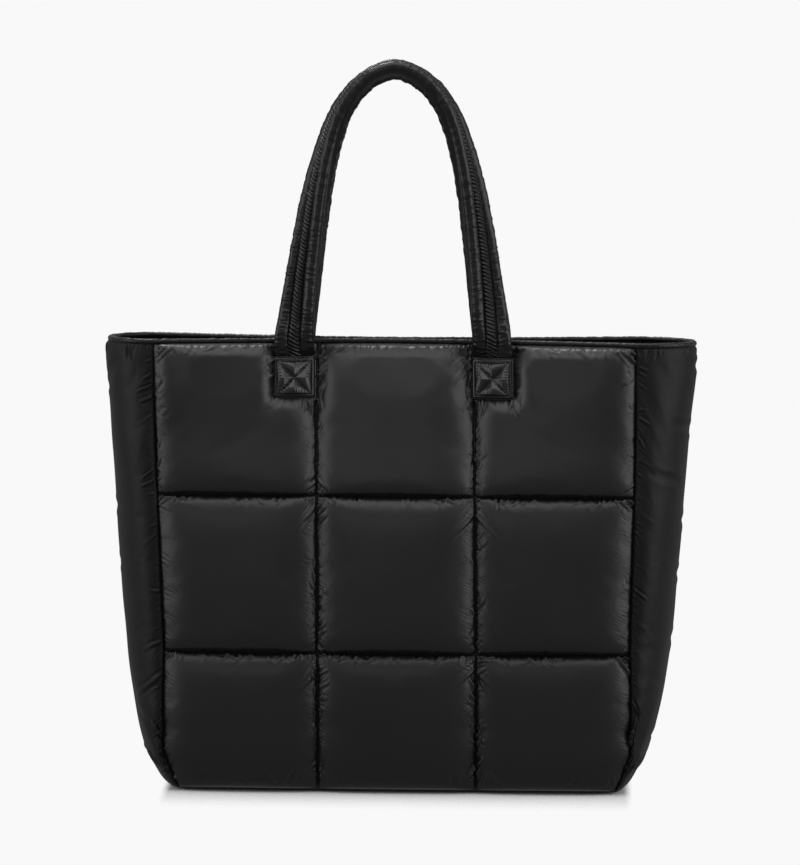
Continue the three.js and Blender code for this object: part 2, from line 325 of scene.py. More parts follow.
def inflate(piece, held, excess, pressure):
    # blows the cloth out between the seams that hold it
    group = piece.vertex_groups.new(name="held")
    group.add(np.flatnonzero(held).tolist(), 1.0, "REPLACE")
    cloth = piece.modifiers.new("filling", "CLOTH")
    rules = cloth.settings
    rules.vertex_group_mass = "held"
    rules.quality = fill["quality"]
    rules.mass = fill["mass"]
    rules.tension_stiffness = rules.compression_stiffness = fill["stiffness"]
    rules.shear_stiffness = fill["stiffness"] / 3
    rules.bending_stiffness = fill["bending"]
    rules.tension_damping = rules.compression_damping = fill["damping"]
    rules.air_damping = fill["airDamping"]
    rules.use_pressure = True
    rules.uniform_pressure_force = pressure
    rules.shrink_min = -excess
    rules.effector_weights.gravity = 0
    cloth.collision_settings.use_collision = False
    cloth.point_cache.frame_start, cloth.point_cache.frame_end = 1, fill["frames"]
    for step in range(1, fill["frames"] + 1):
        scene.frame_set(step)
    filled = readPoints(piece.evaluated_get(bpy.context.evaluated_depsgraph_get()))
    piece.modifiers.remove(cloth)
    piece.vertex_groups.clear()
    scene.frame_set(1)
    return filled


def refine(piece, sharp=None):
    # one level of subdivision, with the sewn lines kept sharp
    if sharp is not None:
        ends = np.empty(len(piece.data.edges) * 2, dtype=int)
        piece.data.edges.foreach_get("vertices", ends)
        pairs = sharp[ends.reshape(-1, 2)]
        onSeam = ((pairs[:, 0] == pairs[:, 1]) & (pairs[:, 0] > 0)).any(axis=1)
        crease = piece.data.attributes.new("crease_edge", "FLOAT", "EDGE")
        crease.data.foreach_set("value", onSeam.astype(float))
    smoother = piece.modifiers.new("smoother", "SUBSURF")
    smoother.levels = smoother.render_levels = 1
    smoother.boundary_smooth = "PRESERVE_CORNERS"
    fine = bpy.data.meshes.new_from_object(piece.evaluated_get(bpy.context.evaluated_depsgraph_get()))
    piece.modifiers.remove(smoother)
    piece.data = fine
    return piece


# how much a small fold curves, and the shallow dip on either side of its crest
foldShape = {"curve": 0.8, "dip": 0.55, "dipAt": 1.7, "dipWidth": 0.8}


def strokes(x, z, marks):
    # the height of a set of small folds, each from a point on a seam out into the cloth
    height = np.zeros(len(x))
    for startX, startZ, angle, length, width, rise in marks:
        near = np.flatnonzero((np.abs(x - startX) < length * 1.2) & (np.abs(z - startZ) < length * 1.2))
        if not len(near):
            continue
        dx, dz = x[near] - startX, z[near] - startZ
        along = (dx * math.cos(angle) + dz * math.sin(angle)) / length
        across = (-dx * math.sin(angle) + dz * math.cos(angle)) / width
        across = across + foldShape["curve"] * along * along
        inside = np.clip(along, 0, 1)
        fade = np.sqrt(inside) * (1 - inside) * 2.6  # highest, at 1, a third of the way along
        dip = np.exp(-((np.abs(across) - foldShape["dipAt"]) / foldShape["dipWidth"]) ** 2)
        crest = np.exp(-across ** 2) - foldShape["dip"] * dip
        height[near] += rise * fade * crest * ((along > 0) & (along < 1))
    return height


def rowOfFolds(start, end, angle, count, spread, length, width, rise):
    # folds set unevenly along a seam; angles are in degrees
    marks = []
    phase = draw.uniform(0, 90)
    for step in range(count):
        share = (step + draw.uniform(0.05, 0.95)) / count
        x, z = mix(start[0], end[0], share), mix(start[1], end[1], share)
        busy = noise.noise(Vector((share * 6, phase, 0.5)))  # they come in clusters
        size = draw.uniform(0.2, 1.0) ** 2 * min(1.3, max(0, 0.75 + 1.6 * busy))
        marks.append((
            x, z,
            math.radians(angle + draw.normal(0, spread)),
            mix(length[0], length[1] * 1.3, size),
            width * draw.uniform(0.75, 1.25),
            rise * mix(0.25, 2.1, size),
        ))
    return marks


def closeBehind(piece, lining):
    # joins the lining's grid to the outer cloth all the way round, as one closed piece
    bm = bmesh.new()
    bm.from_mesh(piece.data)
    outer = [edge for edge in bm.edges if edge.is_boundary]
    old = set(bm.faces)
    bm.from_mesh(lining.data)
    behind = [face for face in bm.faces if face not in old]
    bmesh.ops.reverse_faces(bm, faces=behind)
    inner = [edge for face in behind for edge in face.edges if edge.is_boundary]
    bmesh.ops.bridge_loops(bm, edges=outer + list(dict.fromkeys(inner)))
    bmesh.ops.recalc_face_normals(bm, faces=bm.faces)
    bm.to_mesh(piece.data)
    bm.free()
    bpy.data.objects.remove(lining)
    piece.data.shade_smooth()


# how far the fine gathers reach from an upright and from a level seam
gatherReach = {"upright": 0.006, "level": 0.005}


# Quilted front and back
quilt = {
    "columns": 144,
    "rows": 132,
    "liningColumns": 48,
    "liningRows": 44,
    "fine": 0.55,  # how much closer the grid's lines are beside the seams
    "flat": 4.2,  # how flat the middle of a cell is from one upright seam to the next
    "rise": 0.78,  # how gently it rises from them
    "rowFlat": 5.8,  # the same from one level seam to the next
    "rowRise": 0.45,
    "topFlat": 12.0,  # the same near the mouth, where the upper cells fill out right to the binding
    "topRise": 0.26,
    "topPuff": 1.5,  # how much fuller they are there
    "lowFlat": 5.5,  # the same for the lowest cells, below their upper seam
    "lowRise": 0.68,
    "mouthRows": (2.4, 2.8),  # where the shape near the mouth fades in, counted in rows from the base
    "puffRows": (2.3, 2.85),
    "lowRows": (0.45, 0.75),
    "sag": 0.85,  # below 1 the filling hangs low in its cell
    "excess": 0.012,  # how much more cloth there is than the seams' spacing, as a share
    "pressure": 4.0,
    "startPuff": 0.9,  # share of the full puff before the cloth is filled
    "loose": 0.25,  # how much of the filled cloth's own wrinkles is kept
    "stitchDepth": 0.0026,  # the thread pulls a narrow crease into the cloth
    "stitchWidth": 0.0007,
    "creaseFrom": 0.3,  # the crease starts where the padding is this free of a patch's press
    "seamReach": 0.0016,  # the folds start to rise within this distance from a seam
    "wobble": 0.0006,  # how far the sewn lines stray from straight ones
    "wobbleSize": 0.007,
    "wobbleReach": 0.005,
    "edgeFree": 0.01,  # within this distance from the panel's edges they stray less
    "wave": 0.0005,  # slow waves over the cells
    "waveSize": 0.035,
}
# rows of small folds: how many, the spread of their angle in degrees, how long, how wide and how high
quiltFolds = {
    "footOfUpright": (5, 8, (0.005, 0.010), 0.0011, 0.0007),
    "underLevel": (50, 20, (0.002, 0.007), 0.0008, 0.00072),
    "longUnderLevel": (14, 22, (0.003, 0.009), 0.0012, 0.00065),
    "overLevel": (18, 24, (0.0015, 0.004), 0.0009, 0.0003),
    "overBase": (18, 30, (0.004, 0.011), 0.0011, 0.0008),
}


def panelPoints(column, row, puff, side):
    # side is 1 on the outer cloth and -1 on the lining
    height = np.interp(row, range(4), wall["quiltRows"])
    at = section(height)
    x = columnX(column, at["seamX"])
    z = heightOnWall(height)
    press = mix(wall["pressedPuff"], 1, unpressed(x, z)) if side > 0 else 1
    full = pillow((column + 0.5) % 1, quilt["flat"], quilt["rise"]) * press
    nearMouth = smoothStep(*quilt["mouthRows"], row)
    low = smoothStep(*quilt["lowRows"], row) * (row < 1)
    flatness = mix(mix(quilt["rowFlat"], quilt["topFlat"], nearMouth), quilt["lowFlat"], low)
    rise = mix(mix(quilt["rowRise"], quilt["topRise"], nearMouth), quilt["lowRise"], low)
    full = full * pillow((row % 1) ** mix(quilt["sag"], 1, low), flatness, rise)
    full = full * mix(1, quilt["topPuff"], smoothStep(*quilt["puffRows"], row))
    edge = wall["seamThickness"] / 2 * mix(0.2, 1, smoothStep(0, 0.02, height))
    depth = depthAt(x, height) + side * (edge + puff * full)
    return stacked(x, -depth, z)


def foldsOfPanel():
    # the small folds that gather at each seam of the quilted face, as the photo shows them
    half, seam = wall["cellWidth"] / 2, wall["panelWidth"] / 2
    tops = [wall["seamHeight"] + share * wallHeight for share in wall["quiltRows"]]
    marks = []
    for low, high in zip(tops, tops[1:]):
        tall = high - low
        # beside each upright seam: its place, the folds' angle, how many, how long and how high
        uprights = [
            (-half, 128, 42, (0.002, 0.006), 0.00062),
            (-half, 52, 42, (0.002, 0.008), 0.00062),
            (half, 132, 40, (0.002, 0.006), 0.00058),
            (half, 48, 44, (0.002, 0.008), 0.00062),
            (-seam * 0.985, 44, 26, (0.002, 0.006), 0.00035),
            (-seam * 0.985, -46, 10, (0.004, 0.010), 0.00045),
            (seam * 0.985, 160, 24, (0.002, 0.006), 0.00040),
            (seam * 0.985, 214, 8, (0.003, 0.008), 0.00045),
        ]
        spread, width = 18, 0.00085
        for x, angle, count, length, rise in uprights:
            ends = (x, low + 0.02 * tall), (x, high - 0.02 * tall)
            marks += rowOfFolds(*ends, angle, count, spread, length, width, rise)
        # stretched folds at the foot of each upright seam
        for x in (-half, half):
            for angle in (-50, 234):
                ends = (x, low + 0.03 * tall), (x, low + 0.17 * tall)
                marks += rowOfFolds(*ends, angle, *quiltFolds["footOfUpright"])
    for place, high in enumerate(tops[1:], 1):
        for left, right in ((-seam, -half), (-half, half), (half, seam)):
            ends = (left * 0.99 + 0.003, high), (right * 0.99 - 0.003, high)
            marks += rowOfFolds(*ends, -112, *quiltFolds["underLevel"])
            marks += rowOfFolds(*ends, -66, *quiltFolds["longUnderLevel"])
            if place < 3:
                marks += rowOfFolds(*ends, 80, *quiltFolds["overLevel"])
        # longer pulls across the upper corners: their place, angle and height
        pulls = [(seam, -44, 0.9), (half, -48, 0.6), (-half, -132, 0.5)]
        pulls += [(-seam, -136, 0.35), (half, 222, 0.4)]
        for x, angle, share in pulls:
            inwards = -math.cos(math.radians(angle))
            ends = (x + inwards * 0.004, high - 0.001), (x + inwards * 0.024, high - 0.001)
            if abs(x) == half:
                ends = (x - inwards * 0.001, high - 0.002), (x - inwards * 0.001, high - 0.016)
            marks += rowOfFolds(*ends, angle, 6, 6, (0.010, 0.022), 0.0011, 0.0011 * share)
    for left, right in ((-seam, -half), (-half, half), (half, seam)):
        ends = (left * 0.96 + 0.003, tops[0]), (right * 0.96 - 0.003, tops[0])
        marks += rowOfFolds(*ends, 90, *quiltFolds["overBase"])
    # along each edge of a patch and at its lower corners: how many, their angle and a share of the length
    across, up = patchSize["width"] / 2, patchTop + 0.006
    for middle in (-patchSize["spacing"] / 2, patchSize["spacing"] / 2):
        left, right = middle - across, middle + across
        edges = [
            ((left, patchBottom), (left, up), 18, 112, 1.0),
            ((right, patchBottom), (right, up), 18, 62, 1.0),
            ((left, patchBottom), (right, patchBottom), 20, -85, 1.0),
            ((left - 0.001, patchBottom), (left + 0.004, patchBottom), 5, -128, 1.3),
            ((right - 0.004, patchBottom), (right + 0.001, patchBottom), 5, -50, 1.3),
        ]
        for start, end, count, angle, share in edges:
            marks += rowOfFolds(start, end, angle, count, 12, (0.003, 0.010 * share), 0.0009, 0.0013)
    return marks


def quiltedPanels():
    piece, u, v = clothGrid("front_quilting", quilt["columns"], quilt["rows"])
    column = (gatheredAt(u, 3, quilt["fine"]) - 0.5) * 3
    row = gatheredAt(v, 3, quilt["fine"]) * 3
    flat = panelPoints(column, row, 0, 1)
    sewnColumn = np.abs(column + 0.5 - np.round(column + 0.5)) < 1e-4
    sewnRow = np.abs(row - np.round(row)) < 1e-4
    underPatch = unpressed(flat[:, 0], flat[:, 2]) < 1e-6
    points = panelPoints(column, row, wall["cellPuff"], 1)
    writePoints(piece, panelPoints(column, row, wall["cellPuff"] * quilt["startPuff"], 1))
    filled = inflate(piece, sewnColumn | sewnRow | underPatch, quilt["excess"], quilt["pressure"])
    points = mix(points, filled, quilt["loose"])
    out = -(points - flat)[:, 1]
    points[:, 1] = flat[:, 1] - np.minimum(out, fill["most"])
    writePoints(piece, points)
    keep(piece, "cut", column, row, 0)
    # each sewn line has a number of its own, above zero
    lines = stacked(sewnColumn * (np.round(column + 0.5) + 9), sewnRow * (np.round(row) + 9))
    refine(piece, lines)

    cut = readKept(piece, "cut")
    flat = panelPoints(cut[:, 0], cut[:, 1], 0, 1)
    x, z = flat[:, 0], flat[:, 2]
    pressedAway = unpressed(x, z)
    toColumn = np.abs(cut[:, 0] + 0.5 - np.round(cut[:, 0] + 0.5)) * wall["cellWidth"]
    toRow = np.abs(cut[:, 1] - np.round(cut[:, 1])) * wallHeight / 3
    toSeam = np.minimum(toColumn, toRow)
    free = smoothStep(0, quilt["seamReach"], toSeam) * smoothStep(0, 0.10, pressedAway)
    lift = strokes(x, z, foldsOfPanel()) + quilt["wave"] * ripple(flat, quilt["waveSize"], 1)
    points = readPoints(piece) + readNormals(piece) * (lift * free)[:, None]
    crease = np.exp(-(toSeam / quilt["stitchWidth"]) ** 2)
    points[:, 1] += quilt["stitchDepth"] * crease * (pressedAway > quilt["creaseFrom"])
    # the sewn lines stray, but not at the panel's own edges
    fromEnds, fromSides = np.minimum(z - z.min(), wallTop - z), wall["panelWidth"] / 2 - np.abs(x)
    stray = quilt["wobble"] * pressedAway * smoothStep(0, quilt["edgeFree"], fromEnds)
    stray = stray * smoothStep(0, quilt["edgeFree"], fromSides)
    points[:, 0] += stray * ripple(flat, quilt["wobbleSize"], 61) * np.exp(-toColumn / quilt["wobbleReach"])
    points[:, 2] += stray * ripple(flat, quilt["wobbleSize"], 62) * np.exp(-toRow / quilt["wobbleReach"])
    writePoints(piece, points)
    keep(piece, "cut", x, z, 0)
    nearPatch = 0.8 * np.exp(-4 * pressedAway) * (pressedAway < 0.999)
    besideUpright = np.maximum(np.exp(-toColumn / gatherReach["upright"]), nearPatch)
    keep(piece, "gather", besideUpright, np.exp(-toRow / gatherReach["level"]), 0)

    lining, u, v = clothGrid("lining", quilt["liningColumns"], quilt["liningRows"])
    writePoints(lining, panelPoints((u - 0.5) * 3, v * 3, wall["liningPuff"], -1))
    closeBehind(piece, lining)
    back = link(bpy.data.objects.new("back_quilting", piece.data.copy()))
    writePoints(back, standing(readPoints(back), -1))
    writePoints(piece, standing(readPoints(piece), 1))
    return piece, back


frontQuilting, backQuilting = quiltedPanels()
print("quilted panels filled")


# Plain padded sides
side = {
    "columns": 84,
    "rows": 150,
    "liningColumns": 20,
    "liningRows": 44,
    "fine": 0.5,  # how much closer the grid's lines are beside the seams
    "excess": 0.006,
    "pressure": 3.0,
    "startPuff": 0.85,  # share of the full puff before the cloth is filled
    "loose": 0.4,  # how much of the filled cloth's own wrinkles is kept
    "flat": 2.4,  # how flat the middle is from seam to seam
    "flatUp": 9,  # and from the base to the mouth
    "slim": 0.45,  # how much the filling thins out towards the mouth
    "slimFrom": 0.75,
    "wave": 0.0007,  # slow waves over the cloth
    "waveSize": 0.04,
    # how much further each side stands out than a bag in balance would, from the base seam up
    "height": (0.0, 0.04, 0.09, 0.2, 0.35, 0.6, 1.0),
    "right": (-0.006, -0.002, 0.0, 0.0022, 0.0012, 0.0, 0.0),
    "left": (-0.003, 0.003, 0.0044, 0.0040, 0.0024, 0.0010, 0.0006),
}
# the same five numbers as for the quilted face's folds
sideFolds = {
    "besideSeam": (30, 12, (0.006, 0.015), 0.0009, 0.0014),
    "fineBesideSeam": (60, 18, (0.002, 0.005), 0.0008, 0.0005),
    "longBesideSeam": (4, 10, (0.020, 0.030), 0.0015, 0.0005),
    "underBinding": (60, 20, (0.002, 0.008), 0.001, 0.0006),
    "overBase": (20, 24, (0.006, 0.018), 0.0015, 0.0009),
    "lowCorner": (9, 16, (0.008, 0.018), 0.0013, 0.0016),
}
# creases across the middle of a side, which notch the bag's outline
sideCreases = {"count": 9, "spread": 14, "length": (0.02, 0.045), "width": 0.0034, "depth": (0.0004, 0.0009)}


def sidePoints(share, height, puff, face, facing):
    at = section(height)
    lean = facing * leanAt(wall["seamHeight"] + height * wallHeight)
    angle = share * math.pi / 2
    seamAt = at["seamX"] + lean - sewn
    full = pillow((share + 1) / 2, side["flat"]) * pillow(height, side["flatUp"])
    full = full * (1 - side["slim"] * smoothStep(side["slimFrom"], 1, height))
    offset = face * (wall["seamThickness"] / 2 + puff * full)
    slump = throughTable(side["height"], side["right" if facing > 0 else "left"], height)
    x = seamAt + (at["sideX"] - seamAt + offset + slump) * np.cos(angle)
    return stacked(x, (at["seamY"] + offset) * np.sin(angle), heightOnWall(height))


def foldsOfSide():
    # in the flat: across is the way round the side from its middle, up is the height
    reach = wall["baseDepth"] / 2
    low, high, under = wall["seamHeight"] + 0.01, wallTop - 0.004, wallTop - 0.001
    marks = []
    for edge, angle in ((-reach, -26), (reach, 206)):
        for kind in ("besideSeam", "fineBesideSeam", "longBesideSeam"):
            marks += rowOfFolds((edge * 0.975, low), (edge * 0.975, high), angle, *sideFolds[kind])
    marks += rowOfFolds((-reach, under), (reach, under), -96, *sideFolds["underBinding"])
    marks += rowOfFolds((-reach, low), (reach, low), 90, *sideFolds["overBase"])
    for edge, angle in ((-reach, 40), (reach, 140)):
        marks += rowOfFolds((edge * 0.97, low), (edge * 0.97, low + 0.032), angle, *sideFolds["lowCorner"])
    for step in range(sideCreases["count"]):
        x = draw.uniform(-0.3, 0.3) * reach
        z = mix(low, high, (step + draw.uniform(0.1, 0.9)) / sideCreases["count"])
        turn = math.radians(draw.choice((0, 180)) + draw.normal(0, sideCreases["spread"]))
        length = draw.uniform(*sideCreases["length"])
        marks.append((x, z, turn, length, sideCreases["width"], -draw.uniform(*sideCreases["depth"])))
    return marks


def sidePiece(name, facing):
    # the left side is made as the right side of a bag that leans the other way, and turned round
    piece, u, v = clothGrid(name, side["columns"], side["rows"])
    share, height = gatheredAt(u, 1, side["fine"]) * 2 - 1, v
    edge = (np.abs(share) > 1 - 1e-5) | (height < 1e-5) | (height > 1 - 1e-5)
    points = sidePoints(share, height, wall["sidePuff"], 1, facing)
    writePoints(piece, sidePoints(share, height, wall["sidePuff"] * side["startPuff"], 1, facing))
    points = mix(points, inflate(piece, edge, side["excess"], side["pressure"]), side["loose"])
    writePoints(piece, points)
    keep(piece, "cut", share, height, 0)
    refine(piece)
    cut = readKept(piece, "cut")
    around, up = cut[:, 0] * wall["baseDepth"] / 2, wall["seamHeight"] + cut[:, 1] * wallHeight
    toSeam = (1 - np.abs(cut[:, 0])) * wall["baseDepth"] / 2
    toEnd = np.minimum(cut[:, 1], 1 - cut[:, 1]) * wallHeight
    free = smoothStep(0, 0.003, np.minimum(toSeam, toEnd))
    waves = ripple(readPoints(piece), side["waveSize"], 3 if facing > 0 else 5)
    lift = strokes(around, up, foldsOfSide()) + side["wave"] * waves
    writePoints(piece, readPoints(piece) + readNormals(piece) * (lift * free)[:, None])
    keep(piece, "cut", around, up, 0)
    keep(piece, "gather", np.exp(-toSeam / gatherReach["upright"]), np.exp(-toEnd / gatherReach["level"]), 0)
    lining, u, v = clothGrid("lining", side["liningColumns"], side["liningRows"])
    writePoints(lining, sidePoints(u * 2 - 1, v, wall["liningPuff"], -1, facing))
    closeBehind(piece, lining)
    if facing < 0:
        writePoints(piece, turnRound(readPoints(piece)))
    return piece


rightSide = sidePiece("right_padding", 1)
leftSide = sidePiece("left_padding", -1)
print("sides filled")


# Base
floorPad = {
    "columns": 150,
    "rows": 60,
    "width": 0.366,
    "depth": 0.13,
    "liningColumns": 50,
    "liningRows": 20,
    "fill": 0.003,
    "inset": 0.0026,  # the edge stands back this far from the middle of the walls' thickness
    "endInset": 0.007,
    # shares of the way from the middle to the edge, along the base and across it
    "bendFrom": (0.9, 0.8),
    "fillEnds": ((0.8, 0.96), (0.7, 0.9)),
    "pucker": 0.0005,
    "puckerSize": 0.008,
    "puckerTo": (0.022, 0.010),  # where the puckers end, inwards from the edge
}


def basePoints(p, q, face):
    at = section(np.zeros(len(p)))
    seamTop = wall["seamHeight"] + sewn
    endX = at["seamX"] + (at["sideX"] - at["seamX"]) * np.sqrt(np.clip(1 - q * q, 0, 1))
    x = p * (endX - floorPad["endInset"])
    y = q * (depthAt(p * endX, np.zeros(len(p))) - floorPad["inset"])
    bendP, bendQ = floorPad["bendFrom"]
    fillP, fillQ = floorPad["fillEnds"]
    edge = np.maximum(smoothStep(bendP, 1, np.abs(p)), smoothStep(bendQ, 1, np.abs(q)))
    inside = (1 - smoothStep(*fillP, np.abs(p))) * (1 - smoothStep(*fillQ, np.abs(q)))
    if face > 0:
        z = seamTop + floorPad["fill"] * inside
    else:
        z = (seamTop - wall["seamThickness"]) * edge
    return stacked(x, y, z)


def basePiece():
    # the underside is laid out from right to left, so that it faces the floor
    piece, u, v = clothGrid("base_padding", floorPad["columns"], floorPad["rows"])
    points = basePoints(1 - 2 * u, 2 * v - 1, -1)
    toEdge = np.minimum(np.minimum(u, 1 - u) * floorPad["width"], np.minimum(v, 1 - v) * floorPad["depth"])
    nearEdge = smoothStep(0, 0.004, toEdge) * smoothStep(*floorPad["puckerTo"], toEdge)
    points[:, 2] += floorPad["pucker"] * np.abs(ripple(points, floorPad["puckerSize"], 8)) * nearEdge
    writePoints(piece, points)
    keep(piece, "cut", *points.T)
    keep(piece, "gather", *[np.exp(-toEdge / gatherReach["upright"])] * 3)
    lining, u, v = clothGrid("lining", floorPad["liningColumns"], floorPad["liningRows"])
    writePoints(lining, basePoints(1 - 2 * u, 2 * v - 1, 1))
    closeBehind(piece, lining)
    return piece


base = basePiece()
print("base made")


# Binding round the mouth
def mouthCurve(share):
    # the wall's middle line round the mouth, anticlockwise from above, and its length
    at = section(np.array([1.0]))
    seamX, seamY, sideX = at["seamX"][0], at["seamY"][0], at["sideX"][0]
    points = []
    for facing in (1, -1):
        x = np.linspace(-seamX, seamX, binding["faceSteps"], endpoint=False)
        depth = depthAt(x, np.ones(len(x)))
        points += [(facing * a + wall["lean"], -facing * b) for a, b in zip(x, depth)]
        seamAt = seamX + facing * wall["lean"]
        for angle in np.linspace(-math.pi / 2, math.pi / 2, binding["sideSteps"], endpoint=False):
            x = seamAt + (sideX - seamAt) * math.cos(angle)
            points.append((facing * x, facing * seamY * math.sin(angle)))
    points = np.array(points + points[:1])
    along = np.concatenate([[0], np.cumsum(np.hypot(*np.diff(points, axis=0).T))])
    run = (share % 1) * along[-1]
    return stacked(np.interp(run, along, points[:, 0]), np.interp(run, along, points[:, 1])), along[-1]


def mergeEdges(piece, caps=False):
    bm = bmesh.new()
    bm.from_mesh(piece.data)
    bmesh.ops.remove_doubles(bm, verts=bm.verts, dist=1e-6)
    if caps:
        bmesh.ops.holes_fill(bm, edges=[edge for edge in bm.edges if edge.is_boundary])
    bmesh.ops.recalc_face_normals(bm, faces=bm.faces)
    bm.to_mesh(piece.data)
    bm.free()
    piece.data.shade_smooth()


def boxier(value):
    return np.sign(value) * np.abs(value) ** binding["squareness"]


def bindingPiece():
    piece, u, v = clothGrid("binding_tape", binding["along"], binding["around"])
    curve, length = mouthCurve(u)
    near = 0.001
    way = mouthCurve(u + near)[0] - mouthCurve(u - near)[0]
    way /= np.hypot(way[:, 0], way[:, 1])[:, None]
    outwards = stacked(way[:, 1], -way[:, 0])
    turn, mouthTurn = v * 2 * math.pi, u * 2 * math.pi
    wide = boxier(np.cos(turn)) * binding["width"] / 2
    tall = boxier(np.sin(turn)) * binding["height"] / 2
    run = u * length
    loop = stacked(np.cos(mouthTurn), np.sin(mouthTurn), 0) * length / (2 * math.pi)
    crumple = ripple(loop, binding["crumpleSize"], 12)
    creases = np.sin(run * 2 * math.pi / binding["creaseSpacing"] + 2.0 * turn + 3 * crumple)
    swell = 1 + binding["crease"] * (creases - 1) + binding["crumple"] * crumple
    middle = wallTop + gap + binding["height"] / 2
    points = np.column_stack([curve + outwards * (wide * swell)[:, None], middle + tall * swell])
    writePoints(piece, points)
    keep(piece, "cut", run, v * binding["girth"], 0)
    keep(piece, "gather", u * 0 + 0.6, 0.6, 0)
    mergeEdges(piece)
    return piece


bindingTape = bindingPiece()
print("binding made")


# Handles
strap = {
    "rise": 0.2100,
    "apart": 0.038,  # between the two handles at their highest points
    "width": 0.0315,
    "thickness": 0.013,
    "middleChannel": 0.009,
    "tongueWidth": 0.028,
    "neckWidth": 0.033,  # just above the patch
    "neckFull": 0.38,
    "tongueThickness": 0.002,
    "tongueEnd": 0.005,
    "along": 1000,
    "around": 66,  # six equal parts: three channels on each face
    "grooveFull": 0.60,  # fullness at the two seams between the channels
    "seamBack": 0.14,  # how far behind the middle the edge seam lies, as a share of the thickness
    "shift": {1: -0.0014, -1: 0.0020},  # sideways, for the front and the back handle, seen from its own face
    "rope": 0.0030,  # spacing of the middle channel's gathers
    "ropeHeight": 0.0006,
    "slant": 0.5,
    "dent": 0.095,  # how deep the seam along each edge lies, as a share of the width
    "dentReach": 0.25,  # radians of the channel's round
    "tongueFade": (0.0036, 0.0024),  # thicknesses between which a strap turns into its flat end
    "crumple": 0.0006,
    "crumpleSize": 0.0045,
    "fineCrumple": 0.6,  # share of the finer crumple that is added
    "fineSize": 0.0022,
    "faceShift": 0.05,  # keeps the two faces apart in the noise and among the creases
    "top": (0.06, 0.19),  # the gathers fade in between these distances from the highest point
    "apex": (0.03, 0.10),  # and the edges' own crumple fades out
    "creases": 70,  # on each outer channel of each face
    "creaseLength": (0.004, 0.009),
    "creaseWidth": (0.0006, 0.0010),
    "creaseHeight": (0.0004, 0.0010),
    # one half of a handle from the rim to its highest point, as shares of the sizes above
    "height": (0.0, 0.08, 0.21, 0.39, 0.56, 0.7, 0.79, 0.873, 0.93, 0.975, 1.0),
    "span": (1, 0.975, 0.929, 0.859, 0.78, 0.687, 0.606, 0.495, 0.374, 0.215, 0),
    "lean": (0, 0.12, 0.3, 0.5, 0.68, 0.82, 0.9, 0.95, 0.98, 1, 1),
    "twist": (2, 12, 28, 43, 56, 68, 74, 80, 84, 87, 88),
    "wide": (1.02, 0.97, 0.93, 0.92, 0.92, 0.92, 0.92, 0.92, 0.92, 0.92, 0.92),
    "full": (0.8, 0.92, 1, 1, 1, 1.03, 1.06, 1.08, 1.1, 1.12, 1.12),
}


def strapRows():
    # sections along a strap: across, depth, height, twist, width, thickness, and 1 where it lies on the wall
    spanX = patchSize["spacing"] / 2
    one = np.ones(1)

    def wallFace(z):
        wallDepth = depthAt(spanX * one, shareOfHeight(z) * one)[0]
        return wallDepth + wall["seamThickness"] / 2 + float(seatAt(spanX))

    rimFace = depthAt(spanX * one, one)[0] + binding["width"] / 2 + gap
    neck = patchTop + (wall["rimHeight"] - patchTop) / 3
    neckThickness = strap["thickness"] * strap["neckFull"]
    thin = strap["tongueThickness"]
    rows = []
    tongue = patchBottom + strap["tongueEnd"]
    for z in (tongue, (tongue + patchTop) / 2, patchTop):
        rows.append((spanX, wallFace(z) + thin / 2, z, 0, strap["tongueWidth"], thin, 1))
    above = patchTop + 0.0012
    rows.append((spanX, wallFace(above) + thin, above, 0, strap["neckWidth"], thin * 1.5, 1))
    neckDepth = max(rimFace, wallFace(patchTop)) + neckThickness / 2
    rows.append((spanX, neckDepth, neck, 0, strap["neckWidth"], neckThickness, 1))
    rimDepth = max(rimFace, wallFace(neck)) + strap["thickness"] * strap["full"][0] / 2
    table = zip(*(strap[name] for name in ("height", "span", "lean", "twist", "wide", "full")))
    for rise, span, lean, twist, wide, full in table:
        rows.append((
            spanX * span, mix(rimDepth, strap["apart"] / 2, lean), wall["rimHeight"] + strap["rise"] * rise,
            math.radians(twist), strap["width"] * wide, strap["thickness"] * full, 1 if lean == 0 else 0,
        ))
    half = np.array(rows)
    rows = np.concatenate([half * (-1, 1, 1, 1, 1, 1, 1), half[-2::-1]])
    along = np.concatenate([[0], np.cumsum(np.linalg.norm(np.diff(rows[:, :3], axis=0), axis=1))])
    return along, rows


strapAlong, strapTable = strapRows()


def strapAt(s):
    return stacked(*(throughTable(strapAlong, column, s) for column in strapTable.T))


def strapSection(around):
    # around runs from 0 to 1 round the strap, first over its outer face and then back under the inner one;
    # gives the place across the width, the fullness, the channel, the share of it and the face
    face = np.where(around <= 0.5, 1.0, -1.0)
    over = np.where(around <= 0.5, around * 2, 2 - around * 2)
    channel = np.minimum(np.floor(over * 3 + 1e-9), 2).astype(int)
    turn = np.clip(over * 3 - channel, 0, 1) * math.pi
    groove = strap["middleChannel"] / strap["width"] / 2
    edges = np.array([-0.5, -groove, groove, 0.5])
    share = (1 - np.cos(turn)) / 2
    across = edges[channel] + (edges[channel + 1] - edges[channel]) * share
    fromEdge = np.where(channel == 1, math.pi, np.where(channel == 0, turn, math.pi - turn))
    across = across - np.sign(across) * strap["dent"] * np.exp(-(fromEdge / strap["dentReach"]) ** 2)
    starts = np.array([0, strap["grooveFull"], strap["grooveFull"], 0])
    base = mix(starts[channel], starts[channel + 1], share)
    full = base + (1 - base) * np.sin(turn)
    return across, full, channel, share, face


